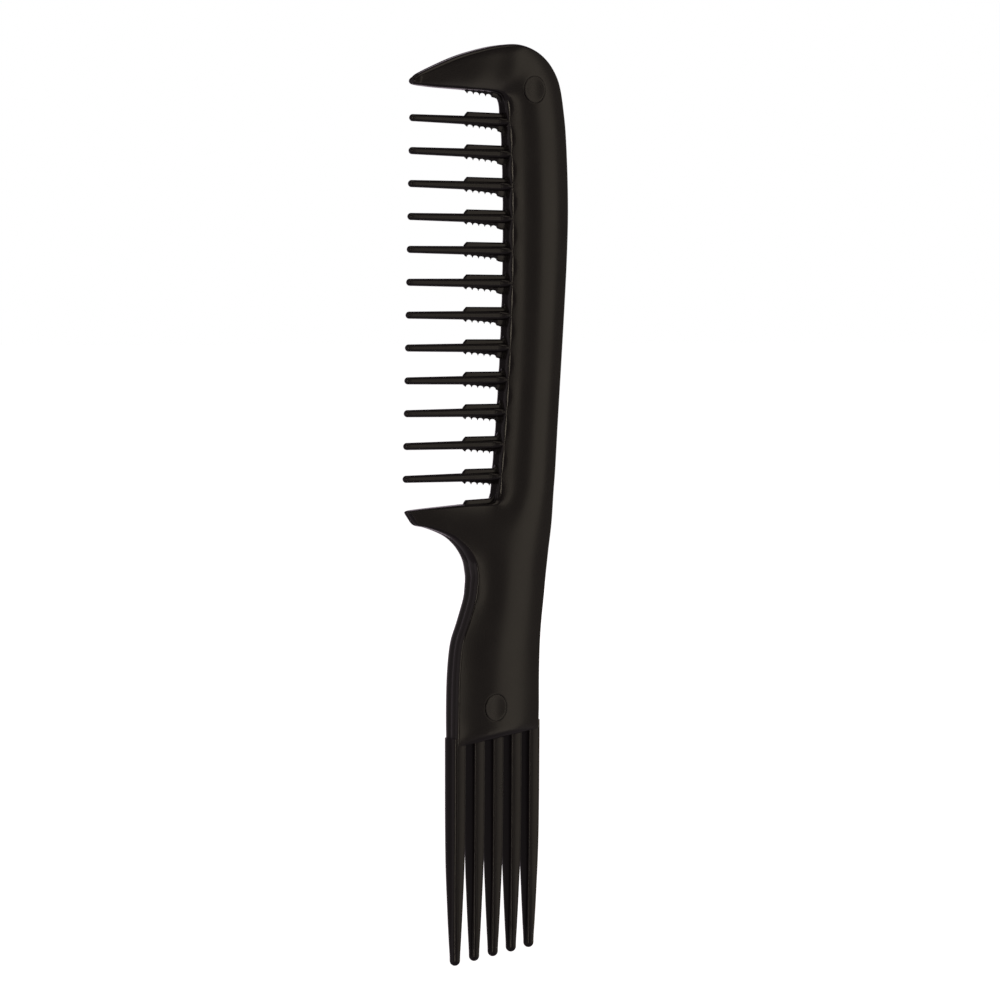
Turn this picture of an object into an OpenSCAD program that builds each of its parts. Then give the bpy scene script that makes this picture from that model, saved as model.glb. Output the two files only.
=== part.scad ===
// Hair comb with a lift fork: a hooked two-shell body, a rake of finned teeth and five lift prongs.
// Frame: X across the comb (teeth point to -X), Y through its thickness (front face to -Y),
// Z along its length (hook up, prongs down). Lengths are in millimetres.

/* [Overall] */
// Length of the lift prongs on the handle's centre line
fork_len = 53.8; // [45:0.1:65]
// Handle length from the prongs up to the lower guard
grip_len = 56.3; // [47:0.1:68]
// Rise of the hook above its own lower edge
hook_rise = 11.6; // [10:0.1:14]
// Handle width where the prongs leave it
handle_w = 26; // [21.5:0.1:31.5]
// Spine width from the toothed wall to the outer edge
spine_w = 17.9; // [15:0.1:21.6]

/* [Shells] */
// Thickness of the comb at the handle's edges
edge_t = 4.6; // [4:0.1:5.6]
// Thickness of the comb at the toothed wall
wall_t = 4; // [3.6:0.1:4.8]
// Rise of each face above the handle's edges, at the handle's middle
grip_crown = 1.7; // [1.2:0.1:2.4]
// Rise of each face above the spine's edges, at the spine's middle
spine_crown = 1.3; // [0.9:0.1:2]
// Radius of the rounded edges
edge_r = 0.8; // [0.5:0.05:1]
// Reach of the hook from the handle's centre line
hook_reach = 24.7; // [20:0.1:30]
// Reach of the lower guard from the handle's centre line
guard_reach = 26.8; // [22:0.1:32.5]

/* [Teeth] */
// Number of long teeth
tooth_count = 12; // [8:1:14]
// Distance between teeth
tooth_pitch = 7.69; // [7:0.01:9.3]
// Reach of the top tooth from the handle's centre line
tooth_reach = 25.2; // [22:0.05:30.5]
// Extra reach of each next tooth down
reach_step = 0.19; // [0:0.01:0.3]
// Diameter of a tooth's round pin at its tip
pin_tip_d = 1.7; // [1.2:0.05:1.9]
// Diameter of a tooth's round pin at the fins
pin_d = 2.05; // [1.7:0.05:2.3]
// Diameter of a tooth's round core at the wall
core_d = 2.5; // [2.1:0.05:2.6]
// Reach of the top tooth's fins from the handle's centre line
shoulder_reach = 8.9; // [7.5:0.1:10.5]
// Extra reach of the fins at each next tooth down
shoulder_step = 0.065; // [0:0.005:0.09]
// Height of the smooth upper fin above the tooth's axis
fin_up = 2.02; // [1.5:0.05:2.4]
// Thickness of the smooth upper fins
fin_t = 1.2; // [0.9:0.05:1.8]
// Thickness of the serrated lower fins
blade_t = 0.6; // [0.4:0.05:1]
// Pitch of the serrations under the fins
notch_pitch = 1.88; // [1.6:0.02:2.1]
// Number of serrations under a tooth
notch_count = 5; // [3:1:5]

/* [Fork] */
// Width of a prong where it leaves the handle
prong_w = 3.4; // [2.8:0.05:3.6]
// Depth of a prong, front to back, where it leaves the handle
prong_d = 4.6; // [3.7:0.05:4.7]
// Width of a prong near its tip
prong_tip_w = 2.55; // [2:0.05:2.8]
// Slant of the handle's end across its width, in degrees
end_slant = 6.5; // [0:0.5:9]
// Slant of the row of prong tips, in degrees
tip_slant = 5.2; // [0:0.2:8]

/* [Fits] */
// Diameter of the two pins that hold the comb together
rivet_d = 6.4; // [5:0.1:7]
// Radial clearance of the pins in their bores
rivet_gap = 0.06; // [0.05:0.01:0.1]
// Clearance around the parts held between the shells
pocket_gap = 0.05; // [0.02:0.01:0.1]
// Thickness of the rake's root bar
bar_t = 2.6; // [2.6:0.05:2.8]
// Depth of the root bar in from the wall
bar_depth = 3.2; // [2.4:0.1:3.6]
// Thickness of the fork's tang
tang_t = 3.2; // [2.6:0.1:3.4]

/* [Hidden] */
plastic = [0.13, 0.12, 0.115];
plastic_rake = [0.11, 0.1, 0.1];
plastic_pin = [0.15, 0.14, 0.135];
$fn = 48;
bury = 0.8; // how far joined shapes run into each other
over = 1; // how far a cut runs past the surface that it opens

half_w = handle_w / 2;
half_edge = edge_t / 2;
half_wall = wall_t / 2;
end_slope = tan(end_slant);
tip_slope = tan(tip_slant);

// Levels up the comb
low_gap = 6.3; // lower guard to the lowest tooth's axis
top_gap = 7.05; // top tooth's axis to the hook's lower edge
rack_len = low_gap + (tooth_count - 1) * tooth_pitch + top_gap;
z_fork = fork_len;
z_guard = z_fork + grip_len;
z_hook = z_guard + rack_len;

function grip_z(k) = z_fork + k * grip_len;
function rack_z(k) = z_guard + k * rack_len;
function hook_z(k) = z_hook + k * hook_rise;
function end_z(x) = z_fork + end_slope * x;
function tooth_z(i) = z_hook - top_gap - i * tooth_pitch;

// The toothed wall bows gently: it stands furthest right two thirds of the way up
wall_peak = 4.25; // X of the wall at its furthest right
wall_high = 0.69; // where it peaks, as a share of the rack's length
bow_below = 9.1; // how strongly it falls back below the peak
bow_above = 13.5; // and above it
function wall_x(k) = wall_peak - (k < wall_high ? bow_below : bow_above) * pow(k - wall_high, 2);

// The frame's upright axis passes midway between the longest tooth's tip and the spine's outer edge
frame_x = (tooth_reach + (tooth_count - 1) * reach_step - wall_x(0.7) - spine_w) / 2;
module placed() {
    translate([frame_x, 0, 0])
        children();
}

// Spine stations: share of the rack's length, share of the spine's width
spine_steps = [
    [0.9, 0.993], [0.8, 1], [0.7, 1], [0.6, 0.985],
    [0.5, 0.965], [0.35, 0.945], [0.2, 0.945], [0.08, 0.965], [0.0235, 0.972]
];

// Handle stations: share of the grip's length, then inner and outer edge as shares of half its width
grip_steps = [
    [0.908, -0.172, 1.304], [0.792, -0.38, 1.227], [0.677, -0.535, 1.158],
    [0.606, -0.581, 1.123], [0.506, -0.738, 1.065], [0.424, -0.885, 1.03],
    [0.339, -0.95, 1.01], [0.233, -0.985, 1], [0.108, -0.996, 1]
];

// Body stations from the hook's tip to the handle's end:
// inner x, inner z, outer x, outer z, half thickness at each edge, crown
corner_x = wall_x(0.97);
hook_rows = [
    [-0.988 * hook_reach, hook_z(0.09), -hook_reach, hook_z(0.16), 1, 1, 0.08],
    [-0.9 * hook_reach, hook_z(0.04), -0.92 * hook_reach, hook_z(0.295), 1.35, 1.3, 0.3],
    [-0.72 * hook_reach, hook_z(0.02), -0.692 * hook_reach, hook_z(0.502), 1.6, 1.55, 0.55],
    [-0.53 * hook_reach, hook_z(0.01), -0.45 * hook_reach, hook_z(0.694), 1.8, 1.75, 0.8],
    [-0.316 * hook_reach, hook_z(0), -0.19 * hook_reach, hook_z(0.848), half_wall, 1.95, 1],
    [-0.113 * hook_reach, hook_z(-0.012), 0.048 * hook_reach, hook_z(0.952), half_wall, 2.1, 1.15]
];

// Corner stations: inner x before the corner, inner height in hook rises,
// outer x past the corner in spine widths, outer height in hook rises
corner_steps = [
    [-2.6, -0.045, 0.2, 0.99], [-1.3, -0.1, 0.475, 0.89], [-0.6, -0.175, 0.689, 0.685],
    [-0.25, -0.28, 0.84, 0.405], [-0.05, -0.43, 0.923, 0.1], [0.15, -0.68, 0.98, -0.36]
];

// Handle's end: how far above the end, share of the crown that is left
end_steps = [[3, 0.97], [1.2, 0.7], [0, 0.15]];
end_drop = 0.15; // how much thinner each shell gets there

body_rows = concat(
    hook_rows,
    [for (s = corner_steps)
        [corner_x + s[0], hook_z(s[1]), corner_x + s[2] * spine_w, hook_z(s[3]),
         half_wall, half_edge, spine_crown]],
    [for (s = spine_steps)
        [wall_x(s[0]), rack_z(s[0]), wall_x(s[0]) + s[1] * spine_w, rack_z(s[0]),
         half_wall, half_edge, spine_crown]],
    [for (s = grip_steps)
        [s[1] * half_w, grip_z(s[0]), s[2] * half_w, grip_z(s[0]),
         half_edge, half_edge, grip_crown + (spine_crown - grip_crown) * s[0]]],
    [for (s = end_steps)
        [-half_w, end_z(-half_w) + s[0], half_w, end_z(half_w) + s[0],
         half_edge - end_drop, half_edge - end_drop, s[1] * grip_crown]]
);

// Lower guard stations from inside the body out to its slanted tip:
// upper x, upper z, lower x, lower z, half thickness at each edge, crown
guard_rows = [
    [3.6, z_guard + 0.6, -0.48 * half_w, grip_z(0.668), half_wall, half_edge, 0.2],
    [0.9, z_guard + 0.45, -0.542 * half_w, grip_z(0.7), half_wall, half_edge, 0.45],
    [-0.07 * guard_reach, z_guard + 0.2, -0.588 * half_w, grip_z(0.75), half_wall, half_edge, 0.5],
    [-0.22 * guard_reach, z_guard + 0.05, -0.713 * half_w, grip_z(0.797), half_wall, half_edge, 0.5],
    [-0.39 * guard_reach, z_guard - 0.1, -0.88 * half_w, grip_z(0.834), 1.95, 2.2, 0.45],
    [-0.56 * guard_reach, z_guard - 0.35, -0.52 * guard_reach, z_guard - 7.7, 1.9, 2.05, 0.35],
    [-0.73 * guard_reach, z_guard - 0.6, -0.648 * guard_reach, z_guard - 6.3, 1.75, 1.8, 0.25],
    [-0.9 * guard_reach, z_guard - 0.9, -0.788 * guard_reach, z_guard - 5.2, 1.5, 1.5, 0.15],
    [-guard_reach, z_guard - 1.2, -0.894 * guard_reach, z_guard - 4.8, 1.25, 1.25, 0]
];

steps = 3; // sections drawn between stations
dome_steps = 8; // facets across a face
hook_strip = 3.85; // body station where the strip under the hook starts
wall_end = 20.45; // body station where the root bar ends at the lower guard
guard_strip = 3.9; // guard station where its strip ends

// Smooth curve through a list of stations, at station u
function station(rows, u) =
    let (n = len(rows), i = min(floor(u), n - 2), f = u - i)
    let (a = rows[max(i - 1, 0)], b = rows[i], c = rows[i + 1], d = rows[min(i + 2, n - 1)])
    0.5 * (2 * b + (c - a) * f + (2 * a - 5 * b + 4 * c - d) * f * f
        + (3 * b - a - 3 * c + d) * f * f * f);

function inner_pt(s) = [s[0], s[1]];
function outer_pt(s) = [s[2], s[3]];
function across(s) = (outer_pt(s) - inner_pt(s)) / norm(outer_pt(s) - inner_pt(s));

// Half section of a shell: distance across, depth
edge_turn = 75; // degrees that a rounded edge turns before the face takes over
function half_section(w, h1, h2, crown) =
    let (r = min(edge_r, 0.4 * w), run = r * (1 - cos(edge_turn)), dip = r * (1 - sin(edge_turn)))
    concat(
        [[0, 0]],
        [for (a = [0 : 25 : edge_turn]) [r * (1 - cos(a)), h1 - r * (1 - sin(a))]],
        [for (k = [1 : dome_steps - 1]) let (t = k / dome_steps)
            [run + t * (w - 2 * run), h1 + (h2 - h1) * t - dip + 4 * crown * t * (1 - t)]],
        [for (a = [edge_turn : -25 : 0]) [w - r * (1 - cos(a)), h2 - r * (1 - sin(a))]],
        [[w, 0]]
    );

// Half shell swept through stations, flat on y = 0 and domed towards -Y
module half_shell(rows) {
    count = (len(rows) - 1) * steps;
    sections = [
        for (i = [0 : count])
            let (s = station(rows, i / steps), dir = across(s), w = norm(outer_pt(s) - inner_pt(s)))
            [for (p = half_section(w, s[4], s[5], s[6]))
                [s[0] + dir[0] * p[0], -p[1], s[1] + dir[1] * p[0]]]
    ];
    m = len(sections[0]);
    polyhedron(
        points = [for (sec = sections) for (p = sec) p],
        faces = concat(
            [for (i = [0 : count - 1]) for (j = [0 : m - 2]) [i * m + j, i * m + j + 1, (i + 1) * m + j]],
            [for (i = [0 : count - 1]) for (j = [0 : m - 2])
                [i * m + j + 1, (i + 1) * m + j + 1, (i + 1) * m + j]],
            [for (i = [0 : count - 1]) [i * m, (i + 1) * m, i * m + m - 1]],
            [for (i = [0 : count - 1]) [(i + 1) * m, (i + 1) * m + m - 1, i * m + m - 1]],
            [[for (j = [m - 1 : -1 : 0]) j]],
            [[for (j = [0 : m - 1]) count * m + j]]
        )
    );
}

// Prism of an outline drawn in X and Z, t thick, centred on y = 0
module plate(t) {
    translate([0, t / 2, 0])
        rotate([90, 0, 0])
            linear_extrude(t)
                children();
}

// Bar outline that follows an edge: out is how far it stands out of the edge, deep how far it goes in
module edge_strip(rows, first, last, out, deep) {
    n = round((last - first) * steps);
    s = [for (i = [0 : n]) station(rows, first + (last - first) * i / n)];
    polygon(concat(
        [for (q = s) inner_pt(q) - across(q) * out],
        [for (i = [n : -1 : 0]) inner_pt(s[i]) + across(s[i]) * deep]
    ));
}

// The two held-in outlines, grown by g on their hidden sides
module rake_bar(g, out) {
    edge_strip(body_rows, hook_strip - g / 4, wall_end, out, bar_depth + g);
    edge_strip(guard_rows, 0, guard_strip + g / 4, out, bar_depth + g);
}

rivet_top = [corner_x + 0.4 * spine_w, hook_z(0.066)];
rivet_low = [-0.16 * half_w, grip_z(0.135)];
lug_r = rivet_d / 2 + 1.8;

// Lug that ties the root bar to the upper pin
module rake_lug(g) {
    translate(rivet_top)
        circle(lug_r + g);
    polygon([
        [corner_x + bar_depth - bury, rack_z(0.93) - g],
        rivet_top + [lug_r * 0.6 + g, -lug_r * 0.8],
        rivet_top + [-lug_r * 0.8, lug_r * 0.6 + g],
        [corner_x - 2.5 - g, hook_z(0.12)],
        [corner_x - 2.5 - g, hook_z(0.05)],
        [corner_x + bar_depth - bury, hook_z(-0.3)]
    ]);
}

tang_half_w = half_w - 1.5;
tang_z = grip_z(0.28);
tang_r = 3;
roof_in = 0.3; // how far the roof of each gap sits inside the handle

// Tang of the fork, inside the handle
module tang_outline(g, drop) {
    polygon(concat(
        [[tang_half_w + g, end_z(tang_half_w) + roof_in - drop]],
        [for (a = [0 : 15 : 90])
            [tang_half_w + g + tang_r * (cos(a) - 1), tang_z + g + tang_r * (sin(a) - 1)]],
        [for (a = [90 : 15 : 180])
            [-tang_half_w - g + tang_r * (cos(a) + 1), tang_z + g + tang_r * (sin(a) - 1)]],
        [[-tang_half_w - g, end_z(-tang_half_w) + roof_in - drop]]
    ));
}

bore_reach = 20; // long enough to pass through the whole comb
module rivet_bore(at) {
    translate([at[0], 0, at[1]])
        rotate([90, 0, 0])
            cylinder(r = rivet_d / 2 + rivet_gap, h = bore_reach, center = true);
}

module shell() {
    difference() {
        union() {
            half_shell(body_rows);
            half_shell(guard_rows);
        }
        plate(bar_t + 2 * pocket_gap)
            rake_bar(pocket_gap, over);
        plate(bar_t + 2 * pocket_gap)
            rake_lug(pocket_gap);
        plate(tang_t + 2 * pocket_gap)
            tang_outline(pocket_gap, over + roof_in);
        rivet_bore(rivet_top);
        rivet_bore(rivet_low);
    }
}

module front_half() {
    color(plastic)
        placed()
            shell();
}

module back_half() {
    color(plastic)
        placed()
            mirror([0, 1, 0])
                shell();
}

// Round core and pin of a tooth, pointing to -X from the wall, with a rounded tip
module tooth_core(root_x, shoulder_x, tip_x, z) {
    r_tip = pin_tip_d / 2;
    reach = root_x - tip_x;
    translate([root_x, 0, z])
        rotate([0, -90, 0])
            rotate_extrude($fn = 32)
                polygon(concat(
                    [[0, -bury], [core_d / 2, -bury], [core_d / 2, 0], [pin_d / 2, root_x - shoulder_x]],
                    [for (a = [0 : 15 : 90]) [r_tip * cos(a), reach - r_tip * (1 - sin(a))]]
                ));
}

// Serrated lower edge: cusps from the shoulder to the wall with round notches between
notch_deep = 0.6;
function notched_edge(x0, z0, fall, n) = [
    for (k = [0 : n - 1]) for (a = [0 : 36 : 179])
        [x0 + notch_pitch * (k + 0.5 - 0.5 * cos(a)),
         z0 - fall * (k + 0.5 - 0.5 * cos(a)) + notch_deep * sin(a)]
];

notch_fall = 0.15; // drop of the serrated edge at each notch
cusp_down = 1.6; // first cusp below the tooth's axis
chamfer = 1.15; // slope at the shoulder of the fins

module tooth_fins(root_x, shoulder_x, z) {
    first = shoulder_x + chamfer * 0.9;
    last = first + notch_count * notch_pitch;
    last_z = z - cusp_down - notch_fall * notch_count;
    plate(fin_t)
        polygon([
            [root_x + bury, z + fin_up + 0.8], [root_x, z + fin_up + 0.8],
            [root_x - 0.25, z + fin_up + 0.25], [root_x - 0.8, z + fin_up],
            [shoulder_x + chamfer, z + fin_up],
            [shoulder_x, z + pin_d / 2 - 0.05], [shoulder_x, z], [root_x + bury, z]
        ]);
    plate(blade_t)
        polygon(concat(
            [[root_x + bury, z], [shoulder_x, z], [shoulder_x, z - pin_d / 2 + 0.05]],
            notched_edge(first, z - cusp_down, notch_fall, notch_count),
            [[last, last_z], [max(last + 0.1, root_x - 0.5), last_z - 0.3], [root_x + bury, last_z - 1]]
        ));
}

// Short serrated strip under the hook and smooth strip on the lower guard
strip_notches = 4;
module guard_strips() {
    start = -0.356 * hook_reach;
    first = start + 0.97;
    last = first + strip_notches * notch_pitch;
    plate(blade_t)
        polygon(concat(
            [[start + 1, z_hook + bury], [start, z_hook + 0.1]],
            notched_edge(first, z_hook - 0.75, notch_fall, strip_notches),
            [[last, z_hook - 0.75 - notch_fall * strip_notches], [last + 1, z_hook - 1.6],
             [corner_x + bury, z_hook - 3.2], [corner_x + bury, z_hook]]
        ));
    low = -0.345 * guard_reach;
    plate(fin_t)
        polygon([
            [low, z_guard - 0.2], [low + chamfer, z_guard + 0.9],
            [wall_x(0) - 0.6, z_guard + 1.2], [wall_x(0) + bury + 0.4, z_guard + 2],
            [wall_x(0) + 2, z_guard - 1], [low + 1, z_guard - 1]
        ]);
}

module tooth_rake() {
    color(plastic_rake)
        placed() difference() {
            union() {
                plate(bar_t)
                    rake_bar(0, 0);
                plate(bar_t)
                    rake_lug(0);
                for (i = [0 : tooth_count - 1]) {
                    z = tooth_z(i);
                    root_x = wall_x((z - z_guard) / rack_len);
                    tip_x = -tooth_reach - i * reach_step;
                    shoulder_x = -shoulder_reach - i * shoulder_step;
                    tooth_core(root_x, shoulder_x, tip_x, z);
                    tooth_fins(root_x, shoulder_x, z);
                }
                guard_strips();
            }
            rivet_bore(rivet_top);
        }
}

prong_count = 5;
tie_w = 1.6; // stub that ties each prong to the tang
tie_h = 4;
tie_x = tang_half_w - 1.2; // the outer stubs stay inside the tang

// Lift prongs: centre lines open out a little less with each prong
prong_first = -0.887 * half_w;
prong_step = 0.461 * half_w;
prong_ease = 0.0046 * half_w;
function prong_x(i) = prong_first + prong_step * i - prong_ease * i * i;
tip_lean = 0.22; // how far each tip leans towards the teeth

// Prong stations: share of the length down from the handle, share of the taper from root to tip
prong_steps = [
    [0, 0], [0.3, 0.05], [0.45, 0.13], [0.54, 0.21], [0.62, 0.33],
    [0.71, 0.5], [0.8, 0.63], [0.89, 0.79], [0.96, 1]
];
prong_sides = 16;
soft = 0.42; // squareness of a prong's section, 1 for an ellipse

module prong(x, x_tip, z_tip) {
    r = prong_tip_w / 2;
    body = [
        for (s = prong_steps)
            [s[0], prong_w + (prong_tip_w - prong_w) * s[1], prong_d + (prong_tip_w - prong_d) * s[1], soft]
    ];
    long = end_z(x) - z_tip;
    round_end = [
        for (a = [30 : 20 : 90])
            let (w = prong_tip_w * cos(min(a, 88)))
            [1 - r * (1 - sin(a)) / long, w, w, 0.8]
    ];
    tip_start = [[1 - r / long, prong_tip_w, prong_tip_w, 0.7]];
    rings = concat([for (q = body) if (q[0] < tip_start[0][0]) q], tip_start, round_end);
    function lobe(v, e) = sign(v) * pow(abs(v), e);
    points = [
        for (q = rings) for (j = [0 : prong_sides - 1])
            let (a = 360 * (j + 0.5) / prong_sides, dx = q[1] / 2 * lobe(cos(a), q[3]),
                 dy = q[2] / 2 * lobe(sin(a), q[3]), px = x + (x_tip - x) * q[0] + dx)
            [px, dy, end_z(x) + end_slope * dx * (1 - q[0]) - long * q[0]]
    ];
    n = prong_sides;
    m = len(rings);
    polyhedron(
        points = points,
        faces = concat(
            [[for (j = [n - 1 : -1 : 0]) j]],
            [for (i = [0 : m - 2]) for (j = [0 : n - 1])
                [i * n + j, i * n + (j + 1) % n, (i + 1) * n + j]],
            [for (i = [0 : m - 2]) for (j = [0 : n - 1])
                [i * n + (j + 1) % n, (i + 1) * n + (j + 1) % n, (i + 1) * n + j]],
            [[for (j = [0 : n - 1]) (m - 1) * n + j]]
        )
    );
}

module lift_fork() {
    color(plastic)
        placed() difference() {
            union() {
                plate(tang_t)
                    tang_outline(0, 0);
                for (i = [0 : prong_count - 1]) {
                    x = prong_x(i);
                    prong(x, x - tip_lean, tip_slope * (x - prong_x(0)));
                    translate([max(min(x, tie_x), -tie_x), 0, end_z(x)])
                        cube([tie_w, tang_t - 0.6, tie_h], center = true);
                }
            }
            rivet_bore(rivet_low);
        }
}

// Pins: flat discs level with the domed faces
module rivet(at, half_len) {
    color(plastic_pin)
        translate([frame_x + at[0], 0, at[1]])
            rotate([90, 0, 0])
                cylinder(r = rivet_d / 2, h = 2 * half_len, center = true);
}

module upper_pin() {
    rivet(rivet_top, half_edge + spine_crown * 0.85);
}

module lower_pin() {
    rivet(rivet_low, half_edge + grip_crown * 0.9);
}

front_half();
back_half();
tooth_rake();
lift_fork();
upper_pin();
lower_pin();
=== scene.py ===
import math

import bmesh
import bpy
import numpy as np
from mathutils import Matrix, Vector
from mathutils.bvhtree import BVHTree
from mathutils.geometry import delaunay_2d_cdt
from mathutils.kdtree import KDTree


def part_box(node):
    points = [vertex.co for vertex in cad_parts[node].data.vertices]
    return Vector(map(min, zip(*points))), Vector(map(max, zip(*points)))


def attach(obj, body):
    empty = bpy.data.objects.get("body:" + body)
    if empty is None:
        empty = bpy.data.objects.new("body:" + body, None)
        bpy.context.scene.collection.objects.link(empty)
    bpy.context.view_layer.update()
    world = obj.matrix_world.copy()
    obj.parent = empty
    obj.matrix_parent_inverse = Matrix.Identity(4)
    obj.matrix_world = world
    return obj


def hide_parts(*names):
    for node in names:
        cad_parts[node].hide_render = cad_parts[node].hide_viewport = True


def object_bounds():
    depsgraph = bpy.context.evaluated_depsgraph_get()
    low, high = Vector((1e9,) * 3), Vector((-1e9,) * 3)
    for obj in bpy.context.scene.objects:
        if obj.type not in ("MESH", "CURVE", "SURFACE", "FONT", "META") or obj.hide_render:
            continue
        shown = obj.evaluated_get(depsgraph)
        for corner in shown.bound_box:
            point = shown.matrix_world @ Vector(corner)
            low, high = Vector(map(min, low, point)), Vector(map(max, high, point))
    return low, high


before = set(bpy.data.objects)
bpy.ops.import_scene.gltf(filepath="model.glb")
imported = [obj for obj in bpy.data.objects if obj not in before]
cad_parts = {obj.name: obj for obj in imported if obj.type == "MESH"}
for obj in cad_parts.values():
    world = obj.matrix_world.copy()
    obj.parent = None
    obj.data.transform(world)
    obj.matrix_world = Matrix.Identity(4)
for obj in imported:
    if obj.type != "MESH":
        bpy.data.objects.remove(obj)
cad_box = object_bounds()
MM = 0.001

# ---------------------------------------------------------------- sizes, in millimetres
# They are the CAD's, apart from the two crowns, which are lower to look right with softer edges
GRIP_LEN, HOOK_RISE, HANDLE_W, SPINE_W = 56.3, 11.6, 26.0, 17.9
EDGE_T, WALL_T, GRIP_CROWN, SPINE_CROWN = 4.6, 4.0, 1.55, 1.25
HOOK_REACH, GUARD_REACH = 24.7, 26.8
TEETH, PITCH, TOOTH_REACH, REACH_STEP = 12, 7.69, 25.2, 0.19
PIN_TIP_D, PIN_D, CORE_D = 1.7, 2.05, 2.5
SHOULDER_REACH, SHOULDER_STEP, FIN_UP = 8.9, 0.065, 2.02
NOTCH_PITCH, NOTCHES, NOTCH_DEEP, NOTCH_FALL, CUSP_DOWN, CHAMFER = 1.88, 5, 0.6, 0.15, 1.6, 1.15
STRIP_NOTCHES = 4
PRONG_W, PRONG_D, PRONG_TIP = 3.4, 4.6, 2.55
END_SLOPE, TIP_SLOPE = math.tan(math.radians(6.5)), math.tan(math.radians(5.2))
RIVET_R, RIVET_GAP = 3.2, 0.03
BAR_T, BAR_DEPTH, TANG_T = 2.6, 3.2, 3.2
LOW_GAP, TOP_GAP = 6.3, 7.05
TANG_SHARE = 0.28  # reach of the fork's tang up the handle, as a share of its length
END_DROP = 0.15  # how much thinner each shell is at the handle's end
WALL_X, WALL_TURN, BOW_LOW, BOW_HIGH = 4.25, 0.69, 9.1, 13.5  # the toothed wall, two half parabolas

FULLER = 0.15  # spread of the edges that makes up for their rounding
HALF_W, HALF_EDGE, HALF_WALL = HANDLE_W / 2, EDGE_T / 2 + FULLER, WALL_T / 2
RACK_LEN = LOW_GAP + (TEETH - 1) * PITCH + TOP_GAP
FRAME_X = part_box("tooth_rake")[0].x / MM + TOOTH_REACH + (TEETH - 1) * REACH_STEP
Z_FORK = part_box("lift_fork")[1].z / MM - TANG_SHARE * GRIP_LEN
Z_GUARD = Z_FORK + GRIP_LEN
Z_HOOK = Z_GUARD + RACK_LEN


# Heights up the comb, mostly from shares of a part's length
def grip_z(k):
    return Z_FORK + k * GRIP_LEN


def rack_z(k):
    return Z_GUARD + k * RACK_LEN


def hook_z(k):
    return Z_HOOK + k * HOOK_RISE


def end_z(x):
    return Z_FORK + END_SLOPE * x


def tooth_z(i):
    return Z_HOOK - TOP_GAP - i * PITCH


def wall_x(k):
    """The toothed wall's x at a share of the rack's length."""
    k = np.asarray(k)
    return WALL_X - np.where(k < WALL_TURN, BOW_LOW, BOW_HIGH) * (k - WALL_TURN) ** 2


CORNER_X = float(wall_x(0.97))
# Spine: share of the rack's length, share of the spine's width
SPINE_STEPS = [(0.9, 0.993), (0.8, 1), (0.7, 1), (0.6, 0.985), (0.5, 0.965), (0.35, 0.945),
               (0.2, 0.945), (0.08, 0.965), (0.0235, 0.972)]
# Handle: share of its length, low edge and high edge as shares of its half width
GRIP_STEPS = [(0.908, -0.172, 1.304), (0.792, -0.38, 1.227), (0.677, -0.535, 1.158),
              (0.606, -0.581, 1.123), (0.506, -0.738, 1.065), (0.424, -0.885, 1.03),
              (0.339, -0.95, 1.01), (0.233, -0.985, 1), (0.108, -0.996, 1)]
# Hook, from its nose: low x and z, high x and z as shares, half thickness at both edges, crown
HOOK_STEPS = [(-0.972, 0.055, -0.975, 0.21, 1.0, 1.0, 0.18), (-0.9, 0.04, -0.92, 0.295, 1.35, 1.3, 0.3),
              (-0.72, 0.02, -0.692, 0.502, 1.6, 1.55, 0.55), (-0.53, 0.01, -0.45, 0.694, 1.8, 1.75, 0.8),
              (-0.316, 0, -0.19, 0.848, 2, 1.95, 1), (-0.113, -0.012, 0.048, 0.952, 2, 2.1, 1.15)]
# Corner of hook and spine: low x in mm from the corner and z, high x in spine widths from it and z
CORNER_STEPS = [(-2.6, -0.045, 0.2, 0.99), (-1.3, -0.1, 0.475, 0.89), (-0.6, -0.175, 0.689, 0.685),
                (-0.25, -0.28, 0.84, 0.405), (-0.05, -0.43, 0.923, 0.1), (0.15, -0.68, 0.98, -0.36)]
END_RISES = (3, 1.2, 0)  # the last stations' heights above the handle's end

body_rows = [[a * HOOK_REACH, hook_z(b), c * HOOK_REACH, hook_z(d), e, f, g]
             for a, b, c, d, e, f, g in HOOK_STEPS]
body_rows += [[CORNER_X + a, hook_z(b), CORNER_X + c * SPINE_W, hook_z(d), HALF_WALL, HALF_EDGE, SPINE_CROWN]
              for a, b, c, d in CORNER_STEPS]
body_rows += [[float(wall_x(k)), rack_z(k), float(wall_x(k)) + s * SPINE_W, rack_z(k),
               HALF_WALL, HALF_EDGE, SPINE_CROWN] for k, s in SPINE_STEPS]
body_rows += [[a * HALF_W, grip_z(k), b * HALF_W, grip_z(k), HALF_EDGE, HALF_EDGE,
               GRIP_CROWN + (SPINE_CROWN - GRIP_CROWN) * k] for k, a, b in GRIP_STEPS]
body_rows += [[-HALF_W, end_z(-HALF_W) + r, HALF_W, end_z(HALF_W) + r,
               HALF_EDGE - END_DROP, HALF_EDGE - END_DROP, GRIP_CROWN] for r in END_RISES]
body_rows = np.array(body_rows, float)

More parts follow.
